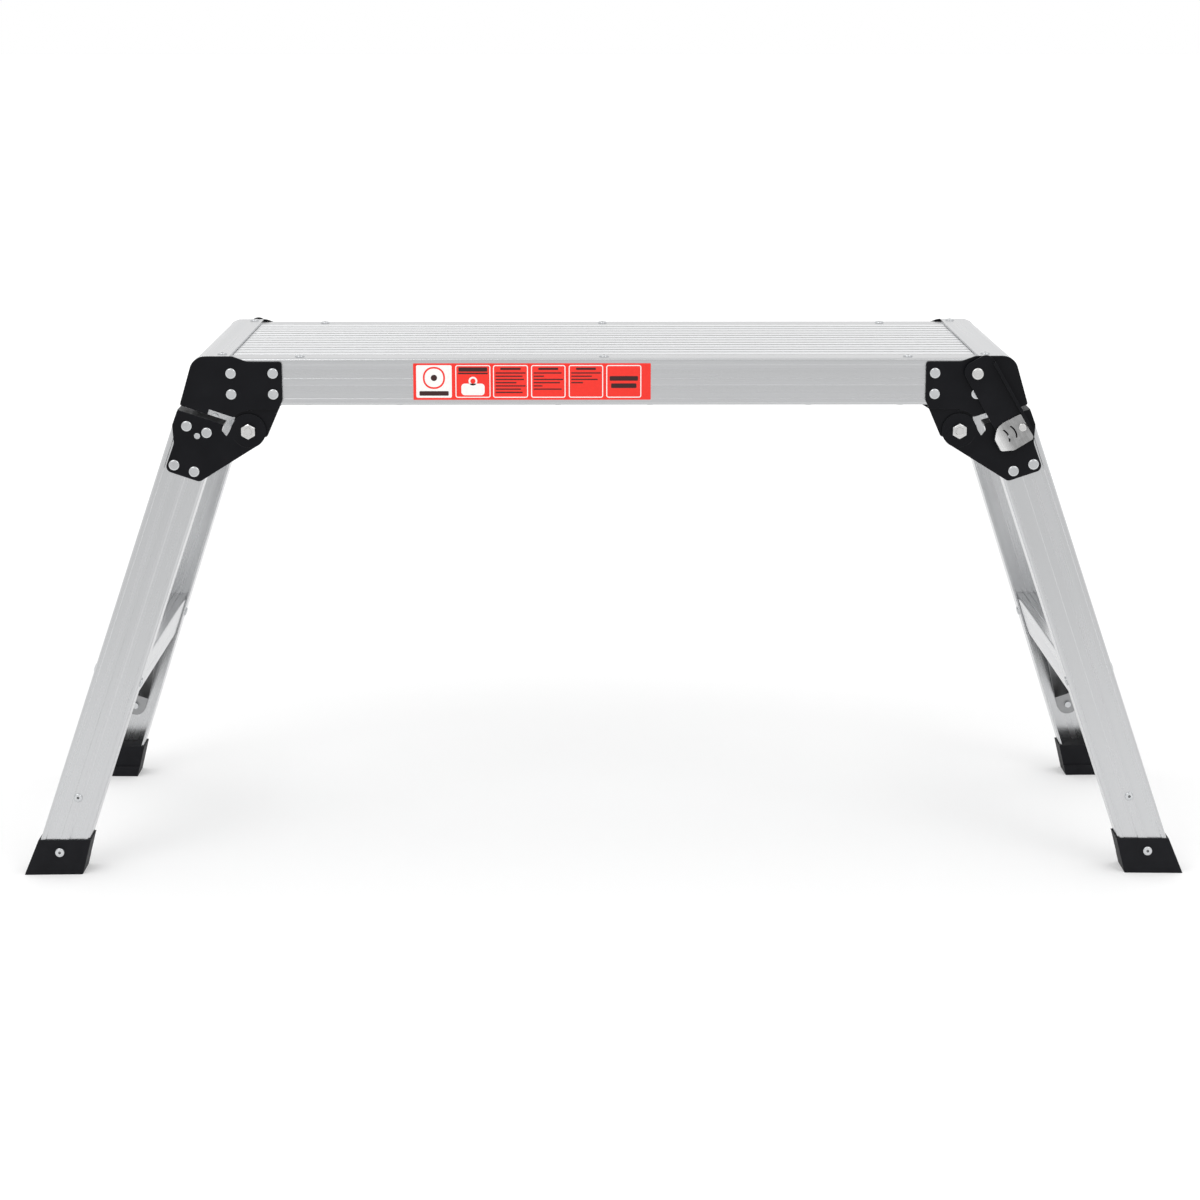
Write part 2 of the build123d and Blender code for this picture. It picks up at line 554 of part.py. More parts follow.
def lock_lever():
    """The pressed lever: its hooked slot holds the leg's lock stud at a fixed reach from the pivot."""
    stud = stud_on_lever()
    reach = math.hypot(stud.X, stud.Y)
    face = rounded(
        (LEVER_LEFT, LEVER_TOP, 10), (LEVER_RIGHT, LEVER_TOP, 9), (LEVER_RIGHT, LEVER_FOOT, 4),
        (LEVER_TOE, LEVER_FOOT, 3), (LEVER_TOE, -reach), (LEVER_LEFT, -reach),
    )
    half_slot = STUD_RADIUS + SLOT_FIT
    ring = Circle(reach + half_slot) - Circle(reach - half_slot)
    face -= ring & Pos(stud.X - 30, -reach) * Rectangle(60, 30)
    face -= Pos(stud.X, stud.Y) * Circle(half_slot)
    lever = plate(LEVER_PLANE, face, 0, PLATE)
    edge = (LEVER_RIGHT - PLATE, LEVER_FOOT + 5, 0)
    lever += block(LEVER_PLANE, edge, (LEVER_RIGHT, 2, PLATE + LEVER_FLANGE))
    lever -= hole(LEVER_PLANE, (0, 0), BOLT_RADIUS + 0.08, 9)
    lever -= hole(LEVER_PLANE, TAB_RIVET, 2.0 + PLAY, 9)
    return lever - hole(LEVER_PLANE, TAB_RIVET, 3.0 + PLAY, PLATE - 1.0)


def lock_tab():
    """The plated thumb tab riveted on the lever's foot, its free end bent out as a lip."""
    face = rounded(
        (17.0, -54.2, 1.5), (17.0, -81.5, 3), (-6, -82, 8), (-18.3, -75.6, 2.5), (-18.2, -62.6, 3),
        (-10.5, -55.4, 5), (-2, -53.4, 5),
    )
    flat = face & Pos(TAB_BEND + 50, -68) * Rectangle(100, 60)
    lip = face & Pos(TAB_BEND - 50 + 0.3, -68) * Rectangle(100, 60)
    fold = Pos(TAB_BEND, 0, PLATE) * Rot(0, TAB_LIFT, 0) * Pos(-TAB_BEND, 0, 0)
    bent = LEVER_PLANE.location * fold * extrude(lip, TAB_THICK)
    bent -= block(LEVER_PLANE, (-FAR, -FAR, -FAR), (FAR, FAR, PLATE))
    tab = plate(LEVER_PLANE, flat, PLATE, PLATE + TAB_THICK) + bent
    arc = Circle(TAB_ARC_RADIUS + 0.8) - Circle(TAB_ARC_RADIUS - 0.8)
    arc &= Pos(TAB_ARC_RADIUS, 0) * Rectangle(TAB_ARC_RADIUS, 13)
    for x in TAB_ARC_X:
        tab -= plate(LEVER_PLANE, Pos(x, TAB_ARC_Y) * arc, 0, 12)
    return tab - hole(LEVER_PLANE, TAB_RIVET, 2.0 + PLAY, 9)


def lock_tab_rivet():
    """The rivet that holds the thumb tab, its tail flat inside the lever's hole."""
    return rivet(LEVER_PLANE.offset(PLATE + TAB_THICK), TAB_RIVET, TAB_THICK + 1.0, head=4.2, height=1.6,
                 shank=2.0, tail=3.0, tail_height=PLATE - 1.0)


def lever_pivot():
    """The shouldered rivet that the lever turns on."""
    gap, deep = LEVER_STANDOFF, LEVER_STANDOFF + PLATE + WALL
    stem = turned(LEVER_PLANE, (0, 0), [
        (0, PLATE + 0.6), (BOLT_RADIUS, PLATE + 0.6), (BOLT_RADIUS, -PLAY), (6.2, -PLAY), (6.2, -gap),
        (3.0, -gap), (3.0, -deep), (4.4, -deep), (4.4, -deep - 1.8), (0, -deep - 1.8),
    ])
    return stem + LEVER_PLANE.location * Pos(0, 0, PLATE + PLAY) * button(5.9, 2.4)


def lever_spring():
    """The lever's return spring: an open coil round the pivot's shoulder, with two straight arms.

    One arm leans on the rivet below the pivot, and the other lies behind the lever.
    """
    wire = Plane.XZ * Pos(SPRING_RADIUS, 0) * Circle(SPRING_WIRE / 2)
    spring = revolve(wire, Axis.Z, SPRING_SWEEP) + extrude(wire, SPRING_ARMS[0])
    spring += Rot(0, 0, SPRING_SWEEP) * extrude(wire, -SPRING_ARMS[1])
    return LEVER_PLANE.location * Pos(0, 0, -LEVER_STANDOFF / 2) * Rot(0, 0, SPRING_START) * spring


# ---- rivet groups -------------------------------------------------------------------------------
def rail_rivets(skip_pivot):
    """The rivets of one rail bracket, less the one that a lever's pivot replaces."""
    places = [at for at in RAIL_RIVETS if not (skip_pivot and at == PIVOT)]
    return [rivet(RAIL_PLANE.offset(PLATE), at, PLATE + WALL) for at in places]


def leg_bracket_rivets(stud_height):
    """The rivets of one leg bracket, with its lock stud."""
    face = LEG_PLANE.offset(PLATE)
    pieces = [rivet(face, at, PLATE + WALL, height=1.7) for at in LEG_RIVETS]
    stud = turned(face, STUD, [
        (0, stud_height), (STUD_RADIUS - 0.5, stud_height), (STUD_RADIUS, stud_height - 0.5),
        (STUD_RADIUS, 0), (2.0, 0), (2.0, -PLATE - WALL), (3.2, -PLATE - WALL),
        (3.2, -PLATE - WALL - 1.4), (0, -PLATE - WALL - 1.4),
    ])
    return [*pieces, stud]


def deck_edge_rivets():
    """Blind rivets through the rails' tops into the outer planks."""
    return [blind_rivet(DECK_PLANE, (x, side * RIVET_ROW), 2 * WALL)
            for x in DECK_RIVET_X for side in (-1, 1)]


def member_rivets():
    """Blind rivets up through the rails' bottoms into the cross members."""
    return [blind_rivet(UNDER_PLANE, (x + side * MEMBER_RIVET, row), 2 * WALL)
            for x in MEMBER_X for side in (-1, 1) for row in (-RIVET_ROW, RIVET_ROW)]


def end_cap_rivets():
    """Blind rivets through each end cap into the rails' tops."""
    face = DECK_PLANE.offset(CAP_THICK)
    return [blind_rivet(face, (end * CAP_RIVET_X, side * RIVET_ROW), CAP_THICK + WALL)
            for end in (-1, 1) for side in (-1, 1)]


def frame_rivets():
    """The blind rivets of one leg: into the step, the brace's two ends, and the shoe."""
    pieces = [blind_rivet(flange_plane(side), (0, 0), 2 * WALL + STEP_FIT) for side in (-1, 1)]
    pieces.append(blind_rivet(LEG_PLANE, (LEG_MIDDLE, BRACE_RIVET), WALL + PLAY + BRACE_THICK, head=4.2))
    pieces.append(blind_rivet(step_floor_plane(), (0, 0), BRACE_THICK + WALL))
    return pieces


def shoe_rivet():
    """The blind rivet that holds a shoe."""
    return blind_rivet(LEG_PLANE.offset(SHOE_WALL), SHOE_RIVET, SHOE_WALL + WALL)


# ---- the whole platform -------------------------------------------------------------------------
def platform():
    """Everything that stays with the deck."""
    rail = side_rail()
    nodes = {"side_rail_front": rail, "side_rail_rear": to_rear(rail)}
    for name, board in deck_planks().items():
        nodes[f"deck_plank_{name}"] = board
    for name, x in zip(MEMBER_NAMES, MEMBER_X):
        nodes[f"cross_member_{name}"] = cross_member(x)
    nodes["deck_edge_rivets"] = group(deck_edge_rivets())
    nodes["cross_member_rivets"] = group(member_rivets())
    nodes["end_cap_rivets"] = group(end_cap_rivets())
    middle = sum(LABEL_X) / 2, sum(LABEL_Z) / 2
    label = Pos(*middle) * RectangleRounded(LABEL_X[1] - LABEL_X[0], LABEL_Z[1] - LABEL_Z[0], 0.8)
    nodes["rail_label"] = plate(RAIL_PLANE, label, 0, LABEL_THICK)
    return nodes


def deck_end():
    """The right end's pieces that stay with the deck, by their plain names."""
    bracket, bolt, nut = rail_bracket(), hinge_bolt(), hinge_nut()
    return {
        "end_cap": end_cap(),
        "rail_bracket_lever_side": bracket,
        "rail_bracket_plain_side": to_rear(bracket),
        "rail_bracket_rivets": group([*rail_rivets(True), *map(to_rear, rail_rivets(False))]),
        "hinge_bolts": group([bolt, to_rear(bolt)]),
        "hinge_nuts": group([nut, to_rear(nut)]),
        "lever_pivot": lever_pivot(),
        "lever_spring": lever_spring(),
    }


def leg_frame():
    """The right leg frame's pieces, by their plain names."""
    one_leg, bracket, shoe, strip, fixing = leg(), leg_bracket(), foot_shoe(), brace(), shoe_rivet()
    holders = frame_rivets()
    return {
        "leg_lever_side": one_leg,
        "leg_plain_side": to_rear(one_leg),
        "leg_bracket_lever_side": bracket,
        "leg_bracket_plain_side": to_rear(bracket),
        "leg_bracket_rivets": group([*leg_bracket_rivets(STUD_LONG),
                                     *map(to_rear, leg_bracket_rivets(STUD_SHORT))]),
        "foot_shoe_lever_side": shoe,
        "foot_shoe_plain_side": to_rear(shoe),
        "foot_shoe_rivets": group([fixing, to_rear(fixing)]),
        "step": step(),
        "brace_lever_side": strip,
        "brace_plain_side": to_rear(strip),
        "frame_rivets": group([*holders, *map(to_rear, holders)]),
    }


def lever_set():
    """The right lock lever's pieces, by their plain names."""
    return {"lock_lever": lock_lever(), "lock_tab": lock_tab(), "lock_tab_rivet": lock_tab_rivet()}


def all_nodes():
    """Every node of the platform, by name."""
    nodes = platform()
    for name, shape in {**deck_end(), **leg_frame(), **lever_set()}.items():
        nodes[f"right_{name}"] = shape
        nodes[f"left_{name}"] = to_left(shape)
    return nodes


os.makedirs("parts", exist_ok=True)
for node, shape in all_nodes().items():
    export_step(shape, f"parts/{node}.step")
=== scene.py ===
"""Looks of the folding work platform: materials, label print, studio, lights and camera.

Metres, in the CAD frame: X along the deck, -Y the front, Z up.
"""

import json
import math

import bmesh
import bpy
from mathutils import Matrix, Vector


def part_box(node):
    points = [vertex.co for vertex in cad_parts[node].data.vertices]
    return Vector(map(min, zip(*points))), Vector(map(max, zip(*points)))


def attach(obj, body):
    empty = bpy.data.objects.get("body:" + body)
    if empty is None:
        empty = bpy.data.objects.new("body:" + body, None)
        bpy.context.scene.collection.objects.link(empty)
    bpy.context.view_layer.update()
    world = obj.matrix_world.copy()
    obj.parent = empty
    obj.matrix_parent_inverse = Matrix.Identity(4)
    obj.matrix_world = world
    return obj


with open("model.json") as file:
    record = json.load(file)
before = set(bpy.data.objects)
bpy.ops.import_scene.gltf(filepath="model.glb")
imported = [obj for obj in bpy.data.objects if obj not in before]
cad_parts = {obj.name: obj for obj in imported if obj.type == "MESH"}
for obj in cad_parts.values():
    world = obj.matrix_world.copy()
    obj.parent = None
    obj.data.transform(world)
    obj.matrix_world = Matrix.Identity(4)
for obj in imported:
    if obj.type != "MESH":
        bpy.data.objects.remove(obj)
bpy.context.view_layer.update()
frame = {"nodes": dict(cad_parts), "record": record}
NODES = frame["nodes"]

MM = 0.001
LEG_ANGLE = math.radians(18.7)
SPLAY_ANGLE = math.radians(5.0)
LEVER_ANGLE = math.radians(30.2)
TAB_ACROSS = 355.5 * MM * math.cos(LEVER_ANGLE) + 486.0 * MM * math.sin(LEVER_ANGLE)  # the lever's middle line


# ---- node helpers -------------------------------------------------------------------------------
class Shader:
    """A small builder for one material's node tree."""

    def __init__(self, name):
        self.material = bpy.data.materials.new(name)
        self.material.use_nodes = True
        self.tree = self.material.node_tree
        self.tree.nodes.clear()
        self.surface = self.add("ShaderNodeBsdfPrincipled")
        output = self.add("ShaderNodeOutputMaterial")
        self.link(self.surface.outputs[0], output.inputs["Surface"])

    def add(self, kind, **settings):
        node = self.tree.nodes.new(kind)
        for key, value in settings.items():
            setattr(node, key, value)
        return node

    def link(self, source, target):
        self.tree.links.new(source, target)

    def feed(self, node, **inputs):
        """Sets or links a node's inputs; an underscore in a name stands for a space."""
        for key, value in inputs.items():
            socket = node.inputs[key.replace("_", " ")]
            if isinstance(value, bpy.types.NodeSocket):
                self.link(value, socket)
            else:
                socket.default_value = value
        return node

    def math(self, operation, a, b=0.0, c=0.0):
        node = self.add("ShaderNodeMath", operation=operation)
        for index, value in enumerate((a, b, c)):
            if isinstance(value, bpy.types.NodeSocket):
                self.link(value, node.inputs[index])
            else:
                node.inputs[index].default_value = value
        return node.outputs[0]

    def position(self, turn=(0, 0, 0), scale=(1, 1, 1)):
        """The point on the object, turned and then scaled."""
        spot = self.add("ShaderNodeTexCoord").outputs["Object"]
        rotate = self.feed(self.add("ShaderNodeMapping"), Vector=spot, Rotation=turn)
        return self.feed(self.add("ShaderNodeMapping"), Vector=rotate.outputs[0], Scale=scale).outputs[0]

    def noise(self, vector, scale, detail=3.0, roughness=0.55):
        node = self.feed(self.add("ShaderNodeTexNoise"), Vector=vector, Scale=scale, Detail=detail, Roughness=roughness)
        return node.outputs["Fac"]

    def span(self, value, low, high, out_low=0.0, out_high=1.0):
        node = self.add("ShaderNodeMapRange")
        self.feed(node, Value=value, From_Min=low, From_Max=high, To_Min=out_low, To_Max=out_high)
        return node.outputs[0]

    def blend(self, factor, a, b):
        node = self.add("ShaderNodeMix", data_type="RGBA")
        for socket, value in ((node.inputs[0], factor), (node.inputs[6], a), (node.inputs[7], b)):
            if isinstance(value, bpy.types.NodeSocket):
                self.link(value, socket)
            else:
                socket.default_value = value
        return node.outputs[2]

    def edges(self, radius):
        """Near 1 along the piece's outer edges and 0 on its flats, with the rounded normal that shows them."""
        bevel = self.feed(self.add("ShaderNodeBevel", samples=8), Radius=radius)
        flat = self.add("ShaderNodeNewGeometry").outputs["Normal"]
        dot = self.add("ShaderNodeVectorMath", operation="DOT_PRODUCT")
        self.link(bevel.outputs[0], dot.inputs[0])
        self.link(flat, dot.inputs[1])
        return self.span(dot.outputs["Value"], 0.995, 0.85), bevel.outputs[0]

    def shelter(self, distance):
        """1 in the open, falling towards 0 deep in a hole or a groove."""
        node = self.add("ShaderNodeAmbientOcclusion", samples=8, only_local=True)
        return self.feed(node, Distance=distance).outputs["AO"]

    def bump(self, height, distance, strength, normal=None):
        node = self.feed(self.add("ShaderNodeBump"), Height=height, Distance=distance, Strength=strength)
        if normal is not None:
            self.link(normal, node.inputs["Normal"])
        return node.outputs[0]


def shade(tone, tint=(1.0, 1.0, 1.0)):
    return (tone * tint[0], tone * tint[1], tone * tint[2], 1.0)


COOL = (0.985, 0.995, 1.01)


# ---- materials ----------------------------------------------------------------------------------
def extruded(name, tone, turn=(0, 0, 0), line_depth=0.10, rough=0.30, groove_shade=0.0):
    """Satin extruded aluminium: fine die lines along the profile, cloudy sheen, edges painted brighter as partly rub
    and partly a painted highlight, and, with groove_shade, painted shade in its grooves.
    """
    m = Shader(name)
    lines = m.noise(m.position(turn, (0.01, 1100.0, 1100.0)), 1.0, 4.0, 0.7)
    broad = m.noise(m.position(turn, (0.01, 140.0, 140.0)), 1.0, 2.0)
    cloud = m.noise(m.position(turn, (5.0, 16.0, 16.0)), 1.0, 3.0)
    edge_wear_and_glint, rounded = m.edges(0.7 * MM)
    value = m.math("ADD", m.span(lines, 0.3, 0.7, -0.02, 0.02), m.span(broad, 0.3, 0.7, -0.035, 0.035))
    value = m.math("ADD", value, m.span(cloud, 0.3, 0.7, -0.02, 0.02))
    # Painted highlight: the edges are lightened in the colour, partly as rub and partly as light caught along them.
    value = m.math("ADD", value, m.math("MULTIPLY", edge_wear_and_glint, 0.28))
    color = m.blend(m.math("ADD", value, 0.5), shade(tone * 0.76, COOL), shade(min(1.0, tone * 1.24), COOL))
    # Painted shade: grooves and recesses are darkened in the colour by ambient occlusion.
    if groove_shade:
        color = m.blend(m.span(m.shelter(4.0 * MM), 0.45, 0.95, 1.0 - groove_shade, 1.0), shade(0.12), color)
    sheen = m.math("ADD", m.span(broad, 0.25, 0.75, rough - 0.05, rough + 0.06),
                   m.span(cloud, 0.3, 0.7, -0.02, 0.03))
    normal = m.bump(lines, 0.03 * MM, line_depth, rounded)
    m.feed(m.surface, Base_Color=color, Metallic=1.0, Roughness=sheen, Normal=normal)
    return m.material


def bright_metal(name, tone, tint, rough, grain=900.0):
    """Plated steel: a fine even grain, faint blotches, edges painted brighter as partly rub and partly a painted
    highlight, and painted shade in its holes.
    """
    m = Shader(name)
    fine = m.noise(m.position(scale=(grain, grain, grain)), 1.0, 3.0, 0.6)
    blotch = m.noise(m.position(scale=(120.0, 120.0, 120.0)), 1.0, 3.0, 0.6)
    edge_wear_and_glint, rounded = m.edges(0.25 * MM)
    # Painted highlight: the edges are lightened in the colour, partly as rub and partly as light caught along them.
    value = m.math("ADD", m.span(blotch, 0.3, 0.7, 0.38, 0.62), m.math("MULTIPLY", edge_wear_and_glint, 0.4))
    color = m.blend(value, shade(tone * 0.78, tint), shade(min(1.0, tone * 1.2), tint))
    # Painted shade: holes and hollows are darkened in the colour by ambient occlusion.
    color = m.blend(m.span(m.shelter(2.0 * MM), 0.50, 0.90), shade(0.015), color)
    sheen = m.math("ADD", m.span(blotch, 0.3, 0.7, rough - 0.05, rough + 0.06),
                   m.span(fine, 0.3, 0.7, -0.04, 0.04))
    normal = m.bump(fine, 0.02 * MM, 0.35, rounded)
    m.feed(m.surface, Base_Color=color, Metallic=1.0, Roughness=sheen, Normal=normal)
    return m.material


def thumb_tab(name):
    """The bright zinc thumb tab: brushed across, with painted shade on its flat and a painted highlight towards its
    lip.
    """
    m = Shader(name)
    turn = (0, LEVER_ANGLE, 0)
    brush = m.noise(m.position(turn, (1500.0, 1500.0, 60.0)), 1.0, 3.0, 0.6)
    blotch = m.noise(m.position(scale=(160.0, 160.0, 160.0)), 1.0, 3.0, 0.6)
    across = m.add("ShaderNodeVectorMath", operation="DOT_PRODUCT")
    mirrored = m.add("ShaderNodeVectorMath", operation="ABSOLUTE")
    m.link(m.position(), mirrored.inputs[0])
    m.link(mirrored.outputs[0], across.inputs[0])
    across.inputs[1].default_value = (math.cos(LEVER_ANGLE), 0.0, math.sin(LEVER_ANGLE))
    # Painted light: the tab's colour runs from dark grey on its flat to bright at its lip, where it catches the light.
    lip_highlight = m.span(across.outputs["Value"], TAB_ACROSS - 4 * MM, TAB_ACROSS - 14 * MM)
    edge_wear_and_glint, rounded = m.edges(0.3 * MM)
    value = m.math("ADD", m.span(lip_highlight, 0.0, 1.0, 0.14, 0.80), m.span(brush, 0.3, 0.7, -0.08, 0.08))
    # Painted highlight: the edges are lightened in the colour, partly as rub and partly as light caught along them.
    value = m.math("ADD", value, m.math("ADD", m.span(blotch, 0.3, 0.7, -0.06, 0.06), m.math("MULTIPLY", edge_wear_and_glint, 0.3)))
    normal = m.bump(brush, 0.02 * MM, 0.3, rounded)
    m.feed(m.surface, Base_Color=m.blend(value, shade(0.24), shade(0.92)), Metallic=1.0,
           Roughness=m.span(brush, 0.3, 0.7, 0.20, 0.30), Normal=normal)
    return m.material


def powder_coat(name):
    """Satin black powder coat: a fine orange peel, a breath of dust, edges painted a little greyer as partly rub and
    partly a painted highlight.
    """
    m = Shader(name)
    peel = m.noise(m.position(scale=(950.0, 950.0, 950.0)), 1.0, 2.0, 0.5)
    dust = m.noise(m.position(scale=(35.0, 35.0, 35.0)), 1.0, 5.0, 0.6)
    chips = m.noise(m.position(scale=(600.0, 600.0, 600.0)), 1.0, 3.0, 0.6)
    edge_wear_and_glint, rounded = m.edges(0.6 * MM)
    # Painted highlight: the edges are greyed in the colour in spots, partly as rub and partly as light caught along
    # them.
    edge_rub_and_glint = m.math("MULTIPLY", edge_wear_and_glint, m.span(chips, 0.35, 0.7, 0.25, 1.0))
    coat = m.blend(m.span(dust, 0.35, 0.75), (0.0028, 0.0030, 0.0044, 1), (0.0055, 0.0058, 0.0076, 1))
    color = m.blend(m.math("MULTIPLY", edge_rub_and_glint, 0.30), coat, (0.075, 0.077, 0.083, 1))
    sheen = m.math("ADD", m.span(dust, 0.3, 0.7, 0.36, 0.46), m.span(peel, 0.3, 0.7, -0.04, 0.04))
    normal = m.bump(peel, 0.05 * MM, 0.45, rounded)
    m.feed(m.surface, Base_Color=color, Metallic=0.0, Roughness=sheen, Normal=normal)
    m.surface.inputs["Specular IOR Level"].default_value = 0.13
    return m.material


def moulded_rubber(name):
    """Black moulded shoes: a fine grain, the sole's edges painted a little greyer as partly scuff and partly a painted
    highlight.
    """
    m = Shader(name)
    grain = m.feed(m.add("ShaderNodeTexVoronoi"), Vector=m.position(), Scale=1400.0).outputs["Distance"]
    cloud = m.noise(m.position(scale=(60.0, 60.0, 60.0)), 1.0, 4.0, 0.6)
    edge_wear_and_glint, rounded = m.edges(0.8 * MM)
    coat = m.blend(m.span(cloud, 0.3, 0.7), (0.0050, 0.0052, 0.0068, 1), (0.0090, 0.0094, 0.0115, 1))
    # Painted highlight: the sole's edges are greyed in the colour, partly as scuff and partly as light caught along
    # them.
    color = m.blend(m.math("MULTIPLY", edge_wear_and_glint, 0.22), coat, (0.06, 0.06, 0.062, 1))
    sheen = m.math("ADD", m.span(cloud, 0.3, 0.7, 0.48, 0.60), m.span(grain, 0.0, 0.6, -0.05, 0.05))
    m.feed(m.surface, Base_Color=color, Roughness=sheen, Normal=m.bump(grain, 0.06 * MM, 0.4, rounded))
    m.surface.inputs["Specular IOR Level"].default_value = 0.14
    return m.material


def film(name, tone):
    """Printed film, one ink over a faint paper mottle, with a soft gloss."""
    m = Shader(name)
    mottle = m.noise(m.position(scale=(400.0, 400.0, 400.0)), 1.0, 3.0, 0.6)
    cloud = m.noise(m.position(scale=(30.0, 30.0, 30.0)), 1.0, 2.0)
    value = m.math("ADD", m.span(mottle, 0.3, 0.7, 0.0, 0.6), m.span(cloud, 0.3, 0.7, 0.0, 0.4))
    low = tuple(c * 0.90 for c in tone)
    m.feed(m.surface, Base_Color=m.blend(value, (*low, 1), (*tone, 1)),
           Roughness=m.span(mottle, 0.3, 0.7, 0.34, 0.44), Normal=m.bump(mottle, 0.01 * MM, 0.3))
    m.surface.inputs["Specular IOR Level"].default_value = 0.25
    return m.material


# The lengthwise direction of each tilted piece is turned onto X before its lines are drawn.
def leg_turn(side, front):
    """Euler angles that lay a leg's length along X. side is 1 at the right; front is -1 at the front."""
    length = Vector((side * math.sin(LEG_ANGLE), front * math.sin(SPLAY_ANGLE), -math.cos(LEG_ANGLE)))
    return tuple(length.rotation_difference(Vector((1, 0, 0))).to_euler("XYZ"))


LABEL_RED = (0.90, 0.038, 0.026)
MATERIALS = {
    # The deck alone gets painted shade in its grooves.
    "deck_aluminium": extruded("deck_aluminium", 0.82, rough=0.26, groove_shade=0.9),
    "rail_aluminium": extruded("rail_aluminium", 0.56, rough=0.26),
    "cap_aluminium": extruded("cap_aluminium", 0.61, turn=(0, 0, math.radians(90)), rough=0.28),
    "step_aluminium": extruded("step_aluminium", 0.62, turn=(0, 0, math.radians(90)), rough=0.28),
    # Painted shade: the brace gets a much darker aluminium tone than the other extrusions, standing in for the shade it
    # sits in under the step.
    "brace_aluminium": extruded("brace_aluminium", 0.34, turn=(0, 0, math.radians(90)), rough=0.32),
    "bracket_black": powder_coat("bracket_black"),
    "zinc_steel": bright_metal("zinc_steel", 0.64, (1.0, 0.995, 0.985), 0.22),
    "rivet_steel": bright_metal("rivet_steel", 0.60, (0.98, 1.0, 1.02), 0.18),
    "shoe_black": moulded_rubber("shoe_black"),
    "label_print": film("label_print", LABEL_RED),
}
SPECIAL = {
    f"{end}_leg_{where}": extruded(f"leg_aluminium_{end}_{where}", 0.60, leg_turn(side, front), rough=0.26)
    for end, side in (("right", 1), ("left", -1))
    for where, front in (("lever_side", -side), ("plain_side", side))
}
SPECIAL["right_lock_tab"] = SPECIAL["left_lock_tab"] = thumb_tab("thumb_tab")

for entry in frame["record"]["subparts"]:
    name, slot = entry["node"], entry["material_slot"]
    mesh = NODES[name].data
    mesh.materials.clear()
    mesh.materials.append(SPECIAL.get(name) or MATERIALS[slot])


# ---- label print --------------------------------------------------------------------------------
LABEL_LOW, LABEL_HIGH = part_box("rail_label")
LABEL_PANELS = ((-179.2, -145.3), (-141.8, -108.4), (-105.9, -72.6), (-69.6, -36.8), (-33.7, -0.9), (2.1, 35.5))
INK_LIFT = 0.04 * MM


def outline(low, high, radius, steps=6):
    """The corners of a rounded rectangle, anticlockwise, as (x, z) in metres."""
    points = []
    for (x, z), start in (((high[0] - radius, high[1] - radius), 0), ((low[0] + radius, high[1] - radius), 90),
                          ((low[0] + radius, low[1] + radius), 180), ((high[0] - radius, low[1] + radius), 270)):
        for step in range(steps + 1):
            angle = math.radians(start + 90 * step / steps)
            points.append((x + radius * math.cos(angle), z + radius * math.sin(angle)))
    return points


class Ink:
    """One printed colour: flat shapes laid on the label's face as one piece."""

    def __init__(self, name, material, lift):
        self.name, self.material = name, material
        self.y = LABEL_LOW[1] - lift
        self.shape = bmesh.new()

    def ring(self, points):
        return [self.shape.verts.new((x, self.y, z)) for x, z in points]

    def patch(self, low, high, radius):
        self.shape.faces.new(self.ring(outline(low, high, radius)))

    def disc(self, centre, radius):
        low, high = [c - radius for c in centre], [c + radius for c in centre]
        self.patch(low, high, radius * 0.999)

    def border(self, low, high, radius, width):
        """A rounded outline of a given line width."""
        outer = self.ring(outline(low, high, radius))
        inner = self.ring(outline([c + width for c in low], [c - width for c in high], radius - width))
        for index in range(len(outer)):
            after = (index + 1) % len(outer)
            self.shape.faces.new((outer[index], outer[after], inner[after], inner[index]))

    def place(self):
        mesh = bpy.data.meshes.new(self.name)
        self.shape.normal_update()
        self.shape.to_mesh(mesh)
        self.shape.free()
        mesh.materials.append(self.material)
        piece = bpy.data.objects.new(self.name, mesh)
        bpy.context.scene.collection.objects.link(piece)
        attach(piece, "platform")


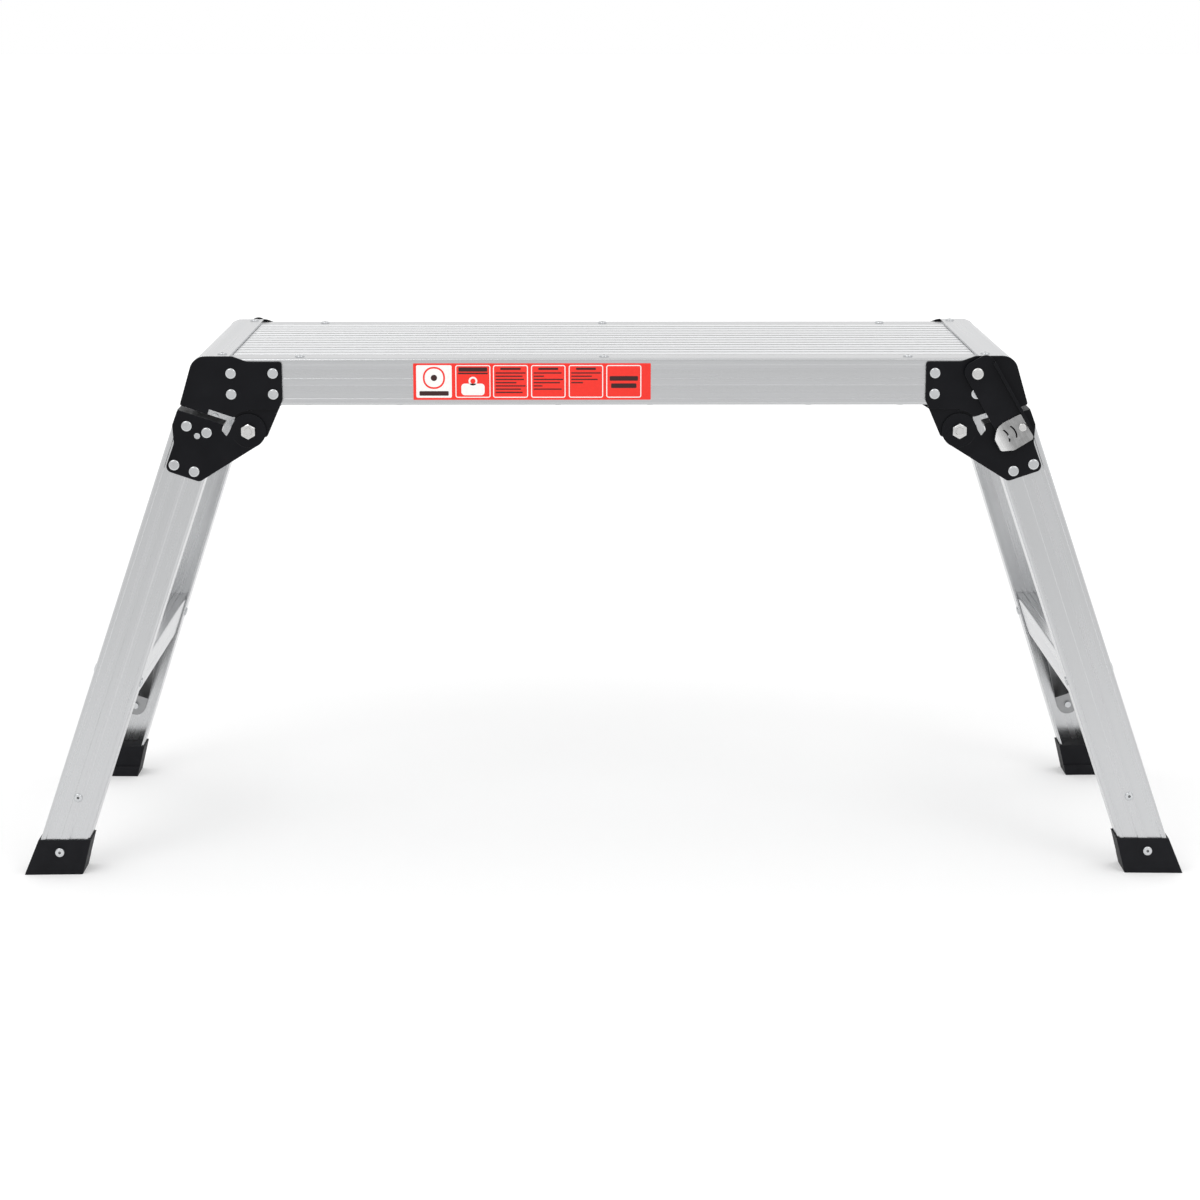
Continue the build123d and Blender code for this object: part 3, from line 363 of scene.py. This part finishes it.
def print_label():
    """Six generic panels: plain shapes and bars only, with no words or signs."""
    white = Ink("label_white_print", film("label_white", (0.93, 0.92, 0.90)), INK_LIFT)
    dark = Ink("label_dark_print", film("label_dark", (0.045, 0.016, 0.016)), 2 * INK_LIFT)
    red = Ink("label_red_print", film("label_red", LABEL_RED), 2 * INK_LIFT)
    bottom, top = LABEL_LOW[2] + 2.0 * MM, LABEL_HIGH[2] - 1.7 * MM
    panels = [(left * MM, right * MM) for left, right in LABEL_PANELS]

    left, right = panels[0]
    white.patch((left, bottom), (right, top), 1.6 * MM)
    red.border((left + 6.4 * MM, bottom + 8.5 * MM), (right - 6.4 * MM, top - 1.6 * MM), 9.8 * MM, 1.7 * MM)
    dark.disc(((left + right) / 2, (bottom + top + 6.9 * MM) / 2), 3.0 * MM)
    dark.patch((left + 3 * MM, bottom + 2.0 * MM), (right - 3 * MM, bottom + 6.4 * MM), 0.9 * MM)

    for left, right in panels[1:]:
        white.border((left, bottom), (right, top), 2.2 * MM, 0.9 * MM)

    left, right = panels[1]
    dark.patch((left + 3 * MM, top - 6.2 * MM), (right - 3 * MM, top - 2.2 * MM), 0.8 * MM)
    dark.patch((left + 2.6 * MM, top - 8.6 * MM), (right - 2.6 * MM, top - 7.2 * MM), 0.4 * MM)
    white.patch((left + 5.6 * MM, bottom + 2.4 * MM), (right - 5.6 * MM, bottom + 13.6 * MM), 3.2 * MM)
    handle = ((left + right) / 2, bottom + 16.0 * MM)
    white.border([c - 4.2 * MM for c in handle], [c + 4.2 * MM for c in handle], 4.19 * MM, 1.7 * MM)

    lines = ((1.0, 0.9, 0.95, 0.7, 1.0, 0.85, 0.9), (0.95, 0.35, 1.0, 0.9, 0.3, 0.95), (1.0, 0.7, 0.9, 0.4))
    for (left, right), rows in zip(panels[2:5], lines):
        dark.patch((left + 7 * MM, top - 4.6 * MM), (right - 7 * MM, top - 2.6 * MM), 0.5 * MM)
        for row, share in enumerate(rows):
            high = top - (7.0 + 3.1 * row) * MM
            reach = left + 2.4 * MM + share * (right - left - 4.8 * MM)
            dark.patch((left + 2.4 * MM, high - 1.1 * MM), (reach, high), 0.3 * MM)

    left, right = panels[5]
    dark.patch((left + 3.2 * MM, top - 15.0 * MM), (right - 3.2 * MM, top - 10.6 * MM), 0.9 * MM)
    dark.patch((left + 4.6 * MM, top - 22.0 * MM), (right - 4.6 * MM, top - 17.6 * MM), 0.9 * MM)
    for ink in (white, dark, red):
        ink.place()


print_label()


# ---- studio -------------------------------------------------------------------------------------
def studio():
    """A white floor and a white room, both dimmer towards the front, and soft lamps above."""
    world = bpy.data.worlds.new("studio")
    world.use_nodes = True
    nodes, links = world.node_tree.nodes, world.node_tree.links
    split = nodes.new("ShaderNodeSeparateXYZ")
    links.new(nodes.new("ShaderNodeTexCoord").outputs["Generated"], split.inputs[0])
    fade = nodes.new("ShaderNodeMapRange")
    fade.interpolation_type = "SMOOTHSTEP"
    for key, value in (("From Min", -1.0), ("From Max", -0.2), ("To Min", 0.84), ("To Max", 1.0)):
        fade.inputs[key].default_value = value
    links.new(split.outputs["Y"], fade.inputs["Value"])
    nodes["Background"].inputs["Color"].default_value = (1.0, 1.0, 1.0, 1)
    links.new(fade.outputs[0], nodes["Background"].inputs["Strength"])
    bpy.context.scene.world = world

    mesh = bpy.data.meshes.new("floor")
    shape = bmesh.new()
    bmesh.ops.create_grid(shape, x_segments=1, y_segments=1, size=30.0)
    shape.to_mesh(mesh)
    shape.free()
    floor = bpy.data.objects.new("floor", mesh)
    bpy.context.scene.collection.objects.link(floor)
    m = Shader("floor")
    cloud = m.noise(m.position(scale=(2.0, 2.0, 2.0)), 1.0, 3.0)
    along = m.add("ShaderNodeSeparateXYZ")
    m.link(m.position(), along.inputs[0])
    near = m.span(along.outputs["Y"], -2.8, -1.0, 0.70, 1.0)
    length = m.add("ShaderNodeVectorMath", operation="LENGTH")
    m.link(m.position(), length.inputs[0])
    glow = m.math("MULTIPLY", near, m.span(length.outputs["Value"], 1.0, 4.0, 0.23, 0.42))
    pale = m.blend(near, (0.0, 0.0, 0.0, 1), m.blend(cloud, (0.74, 0.74, 0.74, 1), (0.76, 0.76, 0.76, 1)))
    m.feed(m.surface, Base_Color=pale, Roughness=0.8, Emission_Strength=glow)
    m.surface.inputs["Emission Color"].default_value = (1.0, 1.0, 1.0, 1)
    mesh.materials.append(m.material)

    for name, place, aim, size, power in (
        ("key", (-1.6, -2.6, 3.4), (0, 0, 0.3), 2.4, 28.0),
        ("fill", (2.0, -2.6, 3.0), (0, 0, 0.3), 2.0, 18.0),
        ("top", (0.0, 0.3, 3.2), (0, 0, 0.4), 3.0, 2.0),
    ):
        lamp = bpy.data.lights.new(name, "AREA")
        lamp.shape, lamp.size, lamp.energy = "DISK", size, power
        light = bpy.data.objects.new(name, lamp)
        light.location = place
        light.rotation_euler = (Vector(aim) - Vector(place)).to_track_quat("-Z", "Y").to_euler()
        bpy.context.scene.collection.objects.link(light)


def camera():
    """The photograph's view: a long lens, a little above the deck."""
    data = bpy.data.cameras.new("camera")
    data.sensor_width, data.lens = 36.0, 84.01
    data.clip_start, data.clip_end = 0.1, 100.0
    eye = bpy.data.objects.new("camera", data)
    eye.location = (-0.01766, -2.80097, 0.8521)
    eye.rotation_euler = (math.radians(90 - 12.493), 0.0, math.radians(-0.297))
    bpy.context.scene.collection.objects.link(eye)
    bpy.context.scene.camera = eye


studio()
camera()
bpy.context.scene.view_settings.view_transform = "Standard"
